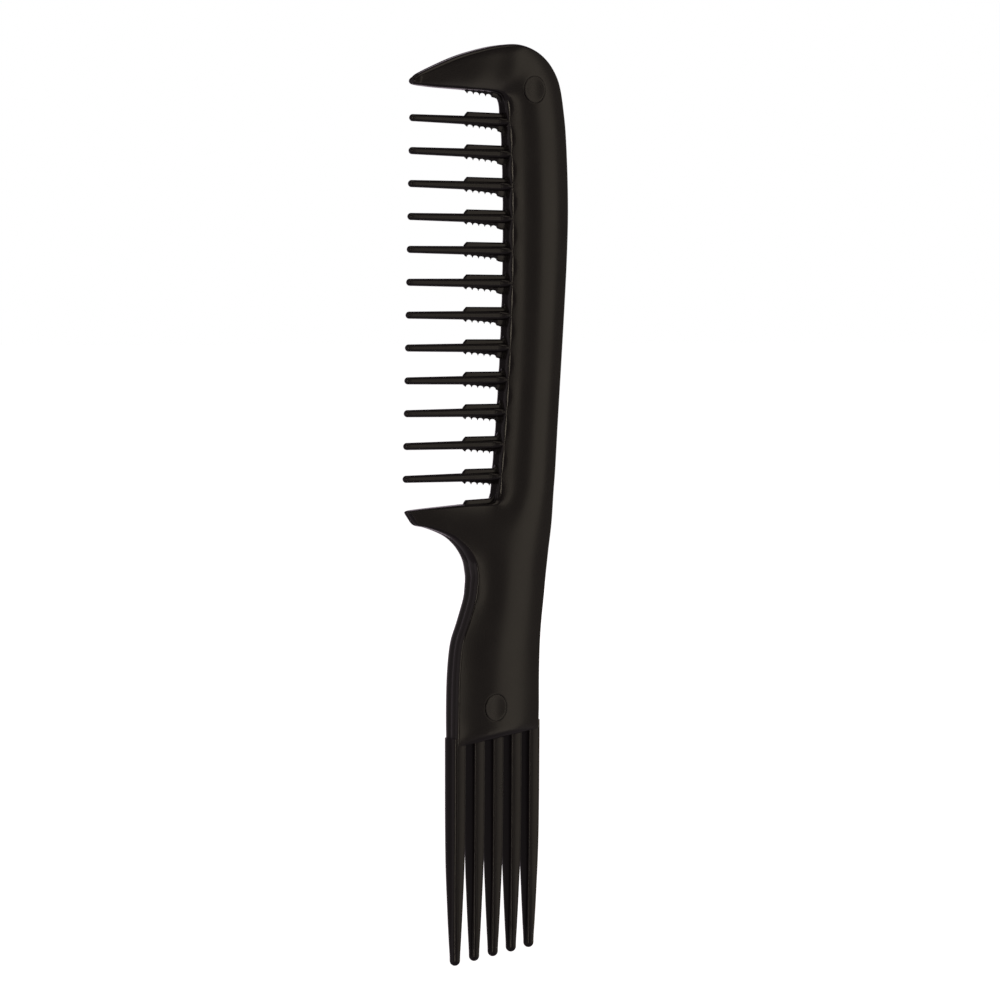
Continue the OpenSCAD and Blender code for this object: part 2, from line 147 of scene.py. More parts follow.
# Lower guard, from inside the spine to its tip, in the same order of values as the body's rows
G = GUARD_REACH
guard_rows = np.array([
    [3.6, Z_GUARD + 0.6, -0.48 * HALF_W, grip_z(0.668), HALF_WALL, HALF_EDGE, 0.2],
    [0.9, Z_GUARD + 0.45, -0.542 * HALF_W, grip_z(0.7), HALF_WALL, HALF_EDGE, 0.45],
    [-0.07 * G, Z_GUARD + 0.2, -0.588 * HALF_W, grip_z(0.75), HALF_WALL, HALF_EDGE, 0.5],
    [-0.22 * G, Z_GUARD + 0.05, -0.713 * HALF_W, grip_z(0.797), HALF_WALL, HALF_EDGE, 0.5],
    [-0.39 * G, Z_GUARD - 0.1, -0.88 * HALF_W, grip_z(0.834), 1.95, 2.2, 0.45],
    [-0.56 * G, Z_GUARD - 0.35, -0.52 * G, Z_GUARD - 7.7, 1.9, 2.05, 0.35],
    [-0.73 * G, Z_GUARD - 0.6, -0.648 * G, Z_GUARD - 6.3, 1.75, 1.8, 0.25],
    [-0.9 * G, Z_GUARD - 0.9, -0.788 * G, Z_GUARD - 5.2, 1.5, 1.5, 0.15],
    [-G, Z_GUARD - 1.2, -0.894 * G, Z_GUARD - 4.8, 1.25, 1.25, 0]], float)


def stations(rows, u):
    """Smooth curve through the stations, at every value in u."""
    u = np.asarray(u, float)
    n = len(rows)
    i = np.clip(np.floor(u).astype(int), 0, n - 2)
    f = (u - i)[:, None]
    a, b, c, d = rows[np.maximum(i - 1, 0)], rows[i], rows[i + 1], rows[np.minimum(i + 2, n - 1)]
    return 0.5 * (2 * b + (c - a) * f + (2 * a - 5 * b + 4 * c - d) * f ** 2
                  + (3 * b - a - 3 * c + d) * f ** 3)


def smoothstep(t):
    t = np.clip(t, 0, 1)
    return t * t * (3 - 2 * t)


# ---------------------------------------------------------------- mesh helpers
def make(name, verts, faces):
    """Mesh object from millimetre points, moved onto the frame's x."""
    v = np.asarray(verts, float).copy()
    v[:, 0] += FRAME_X
    me = bpy.data.meshes.new(name)
    me.from_pydata((v * MM).tolist(), [], [list(map(int, f)) for f in faces])
    me.validate()
    me.update()
    ob = bpy.data.objects.new(name, me)
    bpy.context.scene.collection.objects.link(ob)
    return ob


def loft(sections):
    """Points and faces of a closed tube through equal sections."""
    m, n = len(sections), len(sections[0])
    verts = np.concatenate(sections)
    faces = []
    for i in range(m - 1):
        for j in range(n):
            k = (j + 1) % n
            faces.append((i * n + j, i * n + k, (i + 1) * n + k, (i + 1) * n + j))
    faces.append(tuple(range(n - 1, -1, -1)))
    faces.append(tuple((m - 1) * n + j for j in range(n)))
    return verts, faces


def joined(parts):
    """One list of points and faces from several."""
    verts, faces, base = [], [], 0
    for v, f in parts:
        verts.append(np.asarray(v, float))
        faces += [tuple(base + k for k in face) for face in f]
        base += len(v)
    return np.concatenate(verts), faces


def resample(pts, step):
    """Closed polyline with evenly spaced points."""
    p = np.vstack([pts, pts[:1]])
    seg = np.linalg.norm(np.diff(p, axis=0), axis=1)
    s = np.concatenate([[0], np.cumsum(seg)])
    n = int(round(s[-1] / step))
    t = np.linspace(0, s[-1], n, endpoint=False)
    return np.stack([np.interp(t, s, p[:, 0]), np.interp(t, s, p[:, 1])], 1)


def tree_of(points):
    """Search tree over flat points."""
    tree = KDTree(len(points))
    for k, (x, z) in enumerate(points):
        tree.insert((x, z, 0), k)
    tree.balance()
    return tree


def crossing(a, b):
    """First crossing of open polyline a with b: index in a, index in b, point."""
    for i in range(len(a) - 1):
        r = a[i + 1] - a[i]
        s = b[1:] - b[:-1]
        den = r[0] * s[:, 1] - r[1] * s[:, 0]
        q = b[:-1] - a[i]
        with np.errstate(divide="ignore", invalid="ignore"):
            t = (q[:, 0] * s[:, 1] - q[:, 1] * s[:, 0]) / den
            w = (q[:, 0] * r[1] - q[:, 1] * r[0]) / den
        hit = np.where((t >= 0) & (t < 1) & (w >= 0) & (w < 1))[0]
        if len(hit):
            k = int(hit[0])
            return i, k, a[i] + r * t[k]
    raise ValueError("the outlines do not cross")


# ---------------------------------------------------------------- outline of the two shells
PER_STATION = 24
BODY_END, GUARD_END = len(body_rows) - 1, len(guard_rows) - 1
ub = np.linspace(0, BODY_END, BODY_END * PER_STATION + 1)
ug = np.linspace(0, GUARD_END, GUARD_END * PER_STATION + 1)
sb, sg = stations(body_rows, ub), stations(guard_rows, ug)
inner, outer = sb[:, :2], sb[:, 2:4]
g_up, g_low = sg[:, :2], sg[:, 2:4]

ia, ja, pa = crossing(inner, g_up)
back = g_low[::-1]
jb, ib, pb = crossing(back, inner)
tip_mid, tip_r = (inner[0] + outer[0]) / 2, np.linalg.norm(inner[0] - outer[0]) / 2
tip_dir = math.atan2(*(outer[0] - inner[0])[::-1])
tip_cap = [tip_mid + tip_r * np.array([math.cos(tip_dir + a), math.sin(tip_dir + a)])
           for a in np.linspace(0, math.pi, 9)[1:-1]]
guard_cap = [g_up[-1] * (1 - t) + g_low[-1] * t for t in (0.25, 0.5, 0.75)]
raw = np.vstack([inner[:ia + 1], [pa], g_up[ja + 1:], guard_cap, back[:jb + 1], [pb], inner[ib + 1:],
                 outer[::-1], tip_cap])
OUT_STEP = 0.28
line = resample(raw, OUT_STEP)


def relax(p, weight, rounds):
    """Moves each point towards the middle of its neighbours."""
    for _ in range(rounds):
        p = p + weight[:, None] * 0.5 * ((np.roll(p, 1, 0) + np.roll(p, -1, 0)) / 2 - p)
    return p


def near(p, q, r):
    """1 within 0.6 r of a place, falling to 0 at 1.6 r."""
    return np.clip(1.6 - np.linalg.norm(p - np.asarray(q), axis=1) / r, 0, 1)


soft_spots = np.maximum.reduce([near(line, pa, 1.6), near(line, pb, 5), near(line, g_up[-1], 1.5),
                                near(line, g_low[-1], 1.5)])
line = relax(line, np.full(len(line), 1.0), 2)
line = relax(line, soft_spots, 14)
line = resample(line, OUT_STEP)
N_OUT = len(line)
area = 0.5 * np.sum(line[:, 0] * np.roll(line[:, 1], -1) - np.roll(line[:, 0], -1) * line[:, 1])


def inward_of(p):
    """Unit vectors from the outline towards its inside."""
    t = np.roll(p, -1, 0) - np.roll(p, 1, 0)
    t /= np.linalg.norm(t, axis=1)[:, None]
    return np.stack([-t[:, 1], t[:, 0]], 1) * (1 if area > 0 else -1)


INSET = 0.03  # keeps the edge inside the CAD's box
line = line + INSET * inward_of(line)
inward = inward_of(line)
PLAN_IN = 0.1  # where the flat plan starts, in from the edge
plan_line = line + PLAN_IN * inward


# ---------------------------------------------------------------- height of the domed face
DOME_LOW = 0.027  # how far the dome stands under the stations' height


def height_mesh(rows, u, t_low):
    """Unrounded dome over the outline, as a surface to look heights up on."""
    s = stations(rows, u)
    ts = np.linspace(0, 1, 34)
    a, b = s[:, None, :2], s[:, None, 2:4]
    t = t_low[:, None] + (1.03 - t_low[:, None]) * ts[None, :]
    p = a + (b - a) * t[..., None]
    h = s[:, None, 4] + (s[:, None, 5] - s[:, None, 4]) * t + 4 * s[:, None, 6] * t * (1 - t) - DOME_LOW
    pts = np.concatenate([p, h[..., None]], 2)
    m, n = pts.shape[:2]
    idx = np.arange(m * n).reshape(m, n)
    quads = np.stack([idx[:-1, :-1], idx[:-1, 1:], idx[1:, 1:], idx[1:, :-1]], -1).reshape(-1, 4)
    return BVHTree.FromPolygons(pts.reshape(-1, 3).tolist(), quads.tolist(), epsilon=1e-5)


zb = sb[:, 1]
low_t = np.where((zb < Z_GUARD + 2.5) & (zb > grip_z(0.6)), -0.9, -0.03)
body_dome = height_mesh(body_rows, ub, low_t)
guard_dome = height_mesh(guard_rows, ug, np.full(len(ug), -0.03))
DOWN, ABOVE, MISSED = Vector((0, 0, -1)), 20.0, -9.0
BLEND_H = 0.9  # height over which body and guard run into each other
NUDGES = ((0, 0), (0.003, 0.001), (-0.002, 0.003), (0.001, -0.004))


def drop(dome, x, z):
    """Height of a dome at one point; a ray that slips between two faces is cast again beside it."""
    for dx, dz in NUDGES:
        hit = dome.ray_cast(Vector((x + dx, z + dz, ABOVE)), DOWN)[0]
        if hit is not None:
            return hit.z
    return MISSED


def face_height(p):
    """Height of the face above the middle plane at each point, before its rim is rounded."""
    out = np.empty(len(p))
    for k, (x, z) in enumerate(p):
        a, b = drop(body_dome, x, z), drop(guard_dome, x, z)
        mix = max(BLEND_H - abs(a - b), 0.0)
        out[k] = max(a, b) + mix * mix / (4 * BLEND_H)
        if max(a, b) == MISSED:
            q = body_dome.find_nearest(Vector((x, z, 2.0)))[0]
            out[k] = q.z
    return out


END_ROUND = 2.6  # how far above the handle's end the dome starts to roll over
END_LOW = 2.2  # half thickness that it rolls down to


def end_fall(p, h):
    """The dome rolls over to the level of the prongs at the handle's end."""
    d = (p[:, 1] - (Z_FORK + END_SLOPE * p[:, 0])) / math.hypot(1, END_SLOPE)
    q = 1 - np.clip(d / END_ROUND, 0, 1)
    return h - (1 - np.sqrt(1 - q * q)) * np.maximum(h - END_LOW, 0)


rim_tree = tree_of(resample(line, 0.05))


def rim_distance(p):
    """Distance of each point from the outline."""
    return np.array([rim_tree.find((x, z, 0))[2] for x, z in p])


RIVET_TOP = np.array([CORNER_X + 0.4 * SPINE_W, hook_z(0.066)])
RIVET_LOW = np.array([-0.16 * HALF_W, grip_z(0.135)])
HOLE_R = RIVET_R + RIVET_GAP
RINGS = [0.15, 0.21, 0.29, 0.38, 0.48, 0.6, 0.74, 0.92, 1.2, 1.55]
HOLE_SIDES = 72


def inside(p, poly):
    """Even-odd test of many points against one outline."""
    x, z = p[:, 0], p[:, 1]
    res = np.zeros(len(p), bool)
    a, b = poly, np.roll(poly, -1, 0)
    for (x0, z0), (x1, z1) in zip(a, b):
        if z0 == z1:
            continue
        hit = (z0 > z) != (z1 > z)
        res[hit] ^= x[hit] < (x1 - x0) * (z[hit] - z0) / (z1 - z0) + x0
    return res


HOLE_RINGS = (0.06, 0.14, 0.26, 0.45, 0.8)
GRID_STEP = 0.85


def plan_points():
    """Outline and hole rims, and a fill of rim rings and inner points."""
    pts = [plan_line]
    ang = np.linspace(0, 2 * np.pi, HOLE_SIDES, endpoint=False)
    circle = np.stack([np.cos(ang), np.sin(ang)], 1)
    for c in (RIVET_TOP, RIVET_LOW):
        pts.append(c + HOLE_R * circle)
    extra = []
    for r in RINGS:
        q = line + inward * r
        q = q[::2] if r > 0.9 else q
        extra.append(q[rim_distance(q) > r - 0.012])
    for c in (RIVET_TOP, RIVET_LOW):
        for r in HOLE_RINGS:
            extra.append(c + (HOLE_R + r) * circle)
    lo, hi = line.min(0), line.max(0)
    gx = np.arange(lo[0], hi[0], GRID_STEP)
    gz = np.arange(lo[1], hi[1], GRID_STEP * 0.866)
    grid = np.array([(x + (j % 2) * GRID_STEP / 2, z) for j, z in enumerate(gz) for x in gx])
    grid = grid[inside(grid, line)]
    grid = grid[rim_distance(grid) > 1.9]
    for c in (RIVET_TOP, RIVET_LOW):
        grid = grid[np.linalg.norm(grid - c, axis=1) > HOLE_R + 1.2]
    extra.append(grid)
    extra = np.vstack(extra)
    for c in (RIVET_TOP, RIVET_LOW):
        extra = extra[np.linalg.norm(extra - c, axis=1) > HOLE_R + 0.04]
    return pts, extra


rims, fill = plan_points()
plan = np.vstack(rims + [fill])
starts = [0, N_OUT, N_OUT + HOLE_SIDES]
counts = [N_OUT, HOLE_SIDES, HOLE_SIDES]
edges = [(s + k, s + (k + 1) % n) for s, n in zip(starts, counts) for k in range(n)]
cdt = delaunay_2d_cdt([Vector(p) for p in plan.tolist()], edges, [list(range(N_OUT))], 1, 1e-7)
plan2 = np.array([tuple(v) for v in cdt[0]])
remap = {}
for new, olds in enumerate(cdt[3]):
    for old in olds:
        remap[old] = new
rim_ids = np.array([remap[k] for k in range(N_OUT)])
whole_tris = np.array([f for f in cdt[2] if len(f) == 3])
tris = whole_tris
mid = plan2[tris].mean(1)
for c in (RIVET_TOP, RIVET_LOW):
    keep = np.linalg.norm(mid - c, axis=1) > HOLE_R * 0.998
    tris, mid = tris[keep], mid[keep]

# The toothed wall: where the shells stop short of the root bar
U_ROOT0, U_ROOT1 = 3.85, 20.45
slot_path = np.vstack([stations(body_rows, np.linspace(U_ROOT0, U_ROOT1, 400))[:, :2],
                       stations(guard_rows, np.linspace(0, 3.9, 200))[:, :2]])
slot_tree = tree_of(slot_path)
in_slot = np.array([slot_tree.find((x, z, 0))[2] < 0.45 for x, z in line])
at_end = (line[:, 1] - end_z(line[:, 0])) < 0.35
SLOT_HALF, SLOT_DEEP, SEAM, SEAM_DEEP = 0.95, 0.5, 0.07, 0.1

# Heights, with the rim rolled over as a quarter ellipse
EDGE_IN, EDGE_SHARE, LIP_IN, LIP_EXTRA, TIP_IN, END_IN = 0.65, 0.6, 0.45, 0.95, 0.35, 0.3
line_tree = tree_of(line)
nearest = np.array([line_tree.find((x, z, 0))[1] for x, z in plan2])
nearest[rim_ids] = np.arange(N_OUT)


def blur(v, rounds):
    """Smooths values that run round the outline."""
    for _ in range(rounds):
        v = (np.roll(v, 1) + v * 2 + np.roll(v, -1)) / 4
    return v


slot_share = blur(in_slot.astype(float), 12)
gap_phase = (tooth_z(0) - line[:, 1]) / PITCH
between = 0.5 - 0.5 * np.cos(2 * np.pi * gap_phase)
roll_in = EDGE_IN + (LIP_IN + LIP_EXTRA * between - EDGE_IN) * slot_share
for spot in (tip_mid, g_up[-1], g_low[-1]):
    roll_in += (TIP_IN - roll_in) * near(line, spot, 2.2)
roll_in += (END_IN - roll_in) * blur(at_end.astype(float), 2)

rim_d = rim_distance(plan2)
rim_d[rim_ids] = PLAN_IN


def pillow(edge, source):
    """Evenly puffed surface over the plan: fixed at its edge, curved by the source inside."""
    n = len(plan2)
    area_at = np.zeros(n)
    i, j, k = whole_tris.T
    rows, cols, cots = [], [], []
    for a, b, c in ((i, j, k), (j, k, i), (k, i, j)):
        u, v = plan2[a] - plan2[c], plan2[b] - plan2[c]
        cross = np.abs(u[:, 0] * v[:, 1] - u[:, 1] * v[:, 0])
        cot = (u * v).sum(1) / np.maximum(cross, 1e-12) / 2
        rows += [a, b]
        cols += [b, a]
        cots += [cot, cot]
        np.add.at(area_at, c, cross / 6)
    rows, cols, cots = np.concatenate(rows), np.concatenate(cols), np.concatenate(cots)
    diag = np.bincount(rows, cots, n)
    free = diag > 0
    free[rim_ids] = False

    def apply(x):
        return diag * x - np.bincount(rows, cots * x[cols], n)

    x = np.full(n, edge.mean())
    x[rim_ids] = edge
    r = np.where(free, source * area_at - apply(x), 0)
    pre = np.where(free, 1 / np.where(free, diag, 1), 0)
    z = pre * r
    d = z.copy()
    rz = r @ z
    for _ in range(900):
        q = np.where(free, apply(d), 0)
        step = rz / (d @ q)
        x += step * d
        r -= step * q
        z = pre * r
        new = r @ z
        if new < 1e-16:
            break
        d = z + new / rz * d
        rz = new
    return x


station_h = face_height(plan2)
edge_h = blur(station_h[rim_ids], 40)
low_part = 1 - smoothstep((plan2[:, 1] - Z_GUARD + 1) / 9)
curve_grip, curve_spine = 8 * GRIP_CROWN / HANDLE_W ** 2, 8 * SPINE_CROWN / SPINE_W ** 2
source = curve_grip + (curve_spine - curve_grip) * smoothstep((plan2[:, 1] - grip_z(0.5)) / (0.6 * GRIP_LEN))
puffed = pillow(edge_h, source)
CROWN_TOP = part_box("front_half")[0].y / -MM - 0.01
full_h = end_fall(plan2, np.minimum(station_h + (puffed - station_h) * low_part, CROWN_TOP))
edge_h = full_h[rim_ids]
drop_rim = np.where(in_slot, edge_h - SLOT_HALF - 0.08, EDGE_SHARE * edge_h)
roll_drop = blur(drop_rim, 3)
q = 1 - np.clip(rim_d / roll_in[nearest], 0, 1)
face_h = full_h - np.minimum(roll_drop[nearest], 0.9 * full_h) * (1 - np.sqrt(np.clip(1 - q * q, 0, 1)))
for c in (RIVET_TOP, RIVET_LOW):
    dh = np.linalg.norm(plan2 - c, axis=1) - HOLE_R
    face_h -= 0.05 * np.exp(-np.clip(dh, 0, None) / 0.1)

SEAT_Y = 2.6  # distance of the pins' seats from the middle plane
SIDE_SHARES = (0.36, 0.24, 0.12, 0.0)


def shell_mesh(side):
    """Closed half shell; side is -1 for the front and 1 for the back."""
    verts = [np.stack([plan2[:, 0], side * face_h, plan2[:, 1]], 1)]
    faces = [tuple(t) if side > 0 else tuple(t[::-1]) for t in tris]
    base = len(plan2)
    yb = np.where(in_slot, SLOT_HALF, SEAM)
    deep = np.where(in_slot, SLOT_DEEP, np.where(at_end, 0.02, SEAM_DEEP))
    tuck = line + inward * deep[:, None]
    base_h = edge_h - roll_drop
    rows = []
    for share in SIDE_SHARES:
        off = roll_in * (1 - np.sqrt(1 - share * share))
        at = line + inward * off[:, None]
        rows.append(np.stack([at[:, 0], side * (base_h + share * roll_drop), at[:, 1]], 1))
    low = np.minimum(yb + 0.12, base_h)
    near_seam = line + inward * 0.05
    rows += [np.stack([line[:, 0], side * low, line[:, 1]], 1),
             np.stack([near_seam[:, 0], side * np.minimum(yb, low), near_seam[:, 1]], 1),
             np.stack([tuck[:, 0], side * np.where(in_slot, yb, 0.0), tuck[:, 1]], 1),
             np.stack([tuck[:, 0], np.zeros(N_OUT), tuck[:, 1]], 1)]
    ids = [rim_ids]
    for r in rows:
        ids.append(base + np.arange(N_OUT))
        verts.append(r)
        base += N_OUT
    ccw = area > 0
    for a, b in zip(ids[:-1], ids[1:]):
        for k in range(N_OUT):
            m = (k + 1) % N_OUT
            face = (a[k], a[m], b[m], b[k])
            faces.append(face if (side < 0) == ccw else face[::-1])
    cap = tuple(ids[-1])
    faces.append(cap[::-1] if (side < 0) == (not ccw) else cap)
    for s in starts[1:]:
        rim = [remap[s + k] for k in range(HOLE_SIDES)]
        xz = plan2[rim]
        seat = np.stack([xz[:, 0], np.full(HOLE_SIDES, side * SEAT_Y), xz[:, 1]], 1)
        fid = base + np.arange(HOLE_SIDES)
        verts.append(seat)
        base += HOLE_SIDES
        for k in range(HOLE_SIDES):
            m = (k + 1) % HOLE_SIDES
            face = (rim[k], fid[k], fid[m], rim[m])
            faces.append(face if side > 0 else face[::-1])
        faces.append(tuple(fid[::-1]) if side < 0 else tuple(fid))
    return np.concatenate(verts), faces


def tidy_mesh(ob, sharp_angle):
    """Drop unused points, turn every face outwards and keep edges sharp above an angle in degrees."""
    bm = bmesh.new()
    bm.from_mesh(ob.data)
    bmesh.ops.delete(bm, geom=[v for v in bm.verts if not v.link_faces], context="VERTS")
    bmesh.ops.remove_doubles(bm, verts=bm.verts, dist=1e-7)
    bmesh.ops.triangulate(bm, faces=[f for f in bm.faces if len(f.verts) > 4])
    bmesh.ops.recalc_face_normals(bm, faces=bm.faces)
    bm.to_mesh(ob.data)
    bm.free()
    ob.data.polygons.foreach_set("use_smooth", [True] * len(ob.data.polygons))
    ob.data.set_sharp_from_angle(angle=math.radians(sharp_angle))
    return ob


front = tidy_mesh(make("front_shell", *shell_mesh(-1)), 40)
rear = tidy_mesh(make("back_shell", *shell_mesh(1)), 40)


# ---------------------------------------------------------------- root bar and teeth
def bar(rows, u0, u1, n, recess, deep, half):
    """Bar along the rows' inner edge, with softened corners."""
    s = stations(rows, np.linspace(u0, u1, n))
    a, b = s[:, :2], s[:, 2:4]
    d = (b - a) / np.linalg.norm(b - a, axis=1)[:, None]
    c = 0.1
    shape = [(recess, half - c), (recess + c, half), (deep, half)]
    shape += [(w, -y) for w, y in shape[::-1]]
    sections = []
    for p, e in zip(a, d):
        sections.append(np.array([(p[0] + e[0] * w, y, p[1] + e[1] * w) for w, y in shape]))
    return loft(sections)


TIP_ARC = (4, 14, 26, 38, 50, 62, 76, 90)
FIN_ANGLE, BLADE_ANGLE = math.radians(28), math.radians(158)  # where fin and blade meet the round core
FIN_HALF, BLADE_HALF, TOOTH_FLARE = 0.42, 0.13, 0.55
ARCH_ANGLES = range(12, 181, 12)


def arch_xs(first, count):
    """Places along a row of serrations, closer together near the cusps."""
    return [first + NOTCH_PITCH * (k + 0.5 - 0.5 * math.cos(math.radians(a)))
            for k in range(count) for a in ARCH_ANGLES]


def tooth(i):
    """Round tapering pin and core with a smooth upper fin and a thin serrated blade below."""
    z = tooth_z(i)
    root = float(wall_x((z - Z_GUARD) / RACK_LEN))
    tip = -TOOTH_REACH - i * REACH_STEP
    sh = -SHOULDER_REACH - i * SHOULDER_STEP
    first = sh + CHAMFER * 0.9
    last = first + NOTCHES * NOTCH_PITCH
    r_tip, r_pin, r_core = PIN_TIP_D / 2, PIN_D / 2, CORE_D / 2
    xs = [tip + r_tip * (1 - math.cos(math.radians(a))) for a in TIP_ARC]
    xs += list(np.linspace(tip + r_tip, sh - 0.1, 24)[1:])
    xs += list(np.linspace(sh, first, 9))
    xs += arch_xs(first, NOTCHES)
    xs += list(np.arange(last + 0.2, root - 1.3, 0.3))
    xs += list(np.linspace(root - 1.3, root + 0.8, 18))
    xs = np.array(sorted(xs))

    def radius(x):
        if x < tip + r_tip:
            return math.sqrt(max(r_tip ** 2 - (tip + r_tip - x) ** 2, 0))
        if x < sh:
            return r_tip + (r_pin - r_tip) * (x - tip - r_tip) / (sh - tip - r_tip)
        return r_pin + (r_core - r_pin) * (x - sh) / (root - sh)

    def wall_fillet(x, r):
        d = root - x
        return 0.0 if d > r else r - math.sqrt(max(r * r - (r - max(d, 0)) ** 2, 0))

    def top(x):
        ramp = (FIN_UP - r_pin) * smoothstep((x - sh) / CHAMFER)
        return r_pin + float(ramp) + wall_fillet(x, 0.85)

    def low(x):
        if x < first:
            t = (x - sh) / (first - sh)
            return r_pin - 0.05 + (CUSP_DOWN - r_pin + 0.05) * min(max(t, 0), 1) ** 0.9
        k = (x - first) / NOTCH_PITCH
        if k < NOTCHES:
            f = k - math.floor(k)
            c = max(1 - (2 * f - 1) ** 2, 0)
            return CUSP_DOWN + NOTCH_FALL * k - NOTCH_DEEP * math.sqrt(c)
        return CUSP_DOWN + NOTCH_FALL * NOTCHES + 0.3 * min((x - last) / 1.2, 1) + wall_fillet(x, 0.9)

    sections = []
    ks = np.linspace(0, 1, 6)
    for x in xs:
        r = radius(x)
        has_fin = 0.0 if x <= sh else float(smoothstep((x - sh) / 0.7))
        flare = float(smoothstep((x - root + 2.6) / 2.4)) * TOOTH_FLARE
        zt = top(x) if x > sh else r
        zl = low(x) if x > sh else r
        right = []
        # upper fin, from its crest down to the core
        for k in ks:
            ang = FIN_ANGLE * k
            cy, cz = r * math.sin(ang), r * math.cos(ang)
            wy = FIN_HALF + (r * math.sin(FIN_ANGLE) - FIN_HALF) * k if k > 0 else 0.0
            wz = zt - (zt - r * math.cos(FIN_ANGLE)) * k - (0.12 if 0 < k < 0.3 else 0)
            right.append((cy + (wy - cy) * has_fin, cz + (wz - cz) * has_fin))
        right[0] = (0.0, right[0][1])
        # round core
        for k in np.linspace(0, 1, 12)[1:-1]:
            ang = FIN_ANGLE + (BLADE_ANGLE - FIN_ANGLE) * k
            bulge = 1 + flare * math.sin(ang) ** 2
            right.append((r * math.sin(ang) * bulge, r * math.cos(ang)))
        # serrated blade
        for k in ks[::-1]:
            ang = math.pi - (math.pi - BLADE_ANGLE) * k
            cy, cz = r * math.sin(ang), r * math.cos(ang)
            wy = BLADE_HALF + (r * math.sin(BLADE_ANGLE) - BLADE_HALF) * k ** 1.2
            wz = -zl + (zl + r * math.cos(BLADE_ANGLE)) * k
            if zl < r * 0.97:
                wz = min(wz, -zl)
            right.append((cy + (wy - cy) * has_fin, cz + (wz - cz) * has_fin))
        right[-1] = (0.0, right[-1][1])
        left = [(-y, zz) for y, zz in right[-2:0:-1]]
        sections.append(np.array([(x, y, z + zz) for y, zz in right + left]))
    return loft(sections)


def blade(xs, high, low, t_high, t_low):
    """Thin upright strip between two heights, wedge-shaped in section."""
    sections = []
    for x, h, l in zip(xs, high, low):
        ring = [(0.0, h), (t_high, h - 0.02), (t_high + (t_low - t_high) * 0.5, (h + l) / 2),
                (t_low, l + 0.14), (t_low * 0.6, l + 0.03), (0.0, l)]
        ring += [(-y, zz) for y, zz in ring[-2:0:-1]]
        sections.append(np.array([(x, y, zz) for y, zz in ring]))
    return loft(sections)


def hook_strip():
    """Serrated strip along the hook's lower edge."""
    start = -0.356 * HOOK_REACH
    first = start + 0.97
    last = first + STRIP_NOTCHES * NOTCH_PITCH
    xs = list(np.linspace(start, first, 6))
    xs += arch_xs(first, STRIP_NOTCHES)
    xs += list(np.linspace(last + 0.15, CORNER_X + 0.5, 14))
    lows = []
    for x in xs:
        if x <= first:
            lows.append(Z_HOOK + 0.1 - 0.85 * (x - start) / (first - start))
        elif x <= last + 1e-6:
            k = (x - first) / NOTCH_PITCH
            f = k - math.floor(k + 1e-9)
            lows.append(Z_HOOK - 0.75 - NOTCH_FALL * k + NOTCH_DEEP * math.sqrt(max(1 - (2 * f - 1) ** 2, 0)))
        else:
            t = (x - last) / (CORNER_X + 0.5 - last)
            lows.append(Z_HOOK - 0.75 - NOTCH_FALL * STRIP_NOTCHES - 0.6 * t - 1.6 * t ** 3)
    return blade(xs, [Z_HOOK + 0.8] * len(xs), lows, 0.75, 0.16)


def guard_strip():
    """Smooth strip along the lower guard's upper edge."""
    start, wall = -0.345 * GUARD_REACH, float(wall_x(0))
    xs = list(np.linspace(start, start + CHAMFER, 8))
    xs += list(np.linspace(start + CHAMFER, wall + 1.0, 26)[1:])
    foot = Z_GUARD - 1.0
    sections = []
    for x in xs:
        rise = float(smoothstep((x - start) / CHAMFER)) * 1.1 - 0.2
        h = Z_GUARD + rise + 0.03 * (x - start) + max(x - wall + 1.2, 0) ** 2 * 0.35
        ring = [(0.0, foot), (0.6, foot), (0.6, h - 0.3), (0.5, h - 0.12), (0.3, h - 0.02), (0.0, h)]
        ring += [(-y, zz) for y, zz in ring[-2:0:-1]]
        sections.append(np.array([(x, y, zz) for y, zz in ring]))
    return loft(sections)


rake_parts = [bar(body_rows, U_ROOT0, U_ROOT1, 260, 0.05, BAR_DEPTH, BAR_T / 2),
              bar(guard_rows, 0, 3.9, 80, 0.05, BAR_DEPTH, BAR_T / 2),
              hook_strip(), guard_strip()]
rake_parts += [tooth(i) for i in range(TEETH)]
rake = tidy_mesh(make("rake", *joined(rake_parts)), 38)

# ---------------------------------------------------------------- lift fork
PRONG_STEPS = [(0, 0), (0.3, 0.05), (0.45, 0.13), (0.54, 0.21), (0.62, 0.33), (0.71, 0.5), (0.8, 0.63),
               (0.89, 0.79), (0.96, 1)]
TIP_LEAN = 0.22
OUTER_PUFF = 0.5  # swell of the fork's two outer sides
FACE_CROWN = 0.05
PRONGS = 5
END_ARC = (12, 24, 36, 48, 60, 71, 81, 88)


def prong_x(i):
    """Middle of a prong where it leaves the handle."""
    return -0.887 * HALF_W + 0.461 * HALF_W * i - 0.0046 * HALF_W * i * i


def soft_box(w, d, power, left=0.0, right=0.0, count=48):
    """Section with crowned sides and round corners: a circle at power 2, squarer above it."""
    pts = []
    for k in range(count):
        a = 2 * math.pi * (k + 0.5) / count
        c, t = math.cos(a), math.sin(a)
        side = -1 if c < 0 else 1
        x = math.copysign(abs(c) ** (2 / power), c)
        y = math.copysign(abs(t) ** (2 / power), t)
        puff = (left if side < 0 else right) * (1 - y * y) * abs(x)
        pts.append((w / 2 * x + side * puff, d / 2 * y * (1 - FACE_CROWN * x * x)))
    return pts


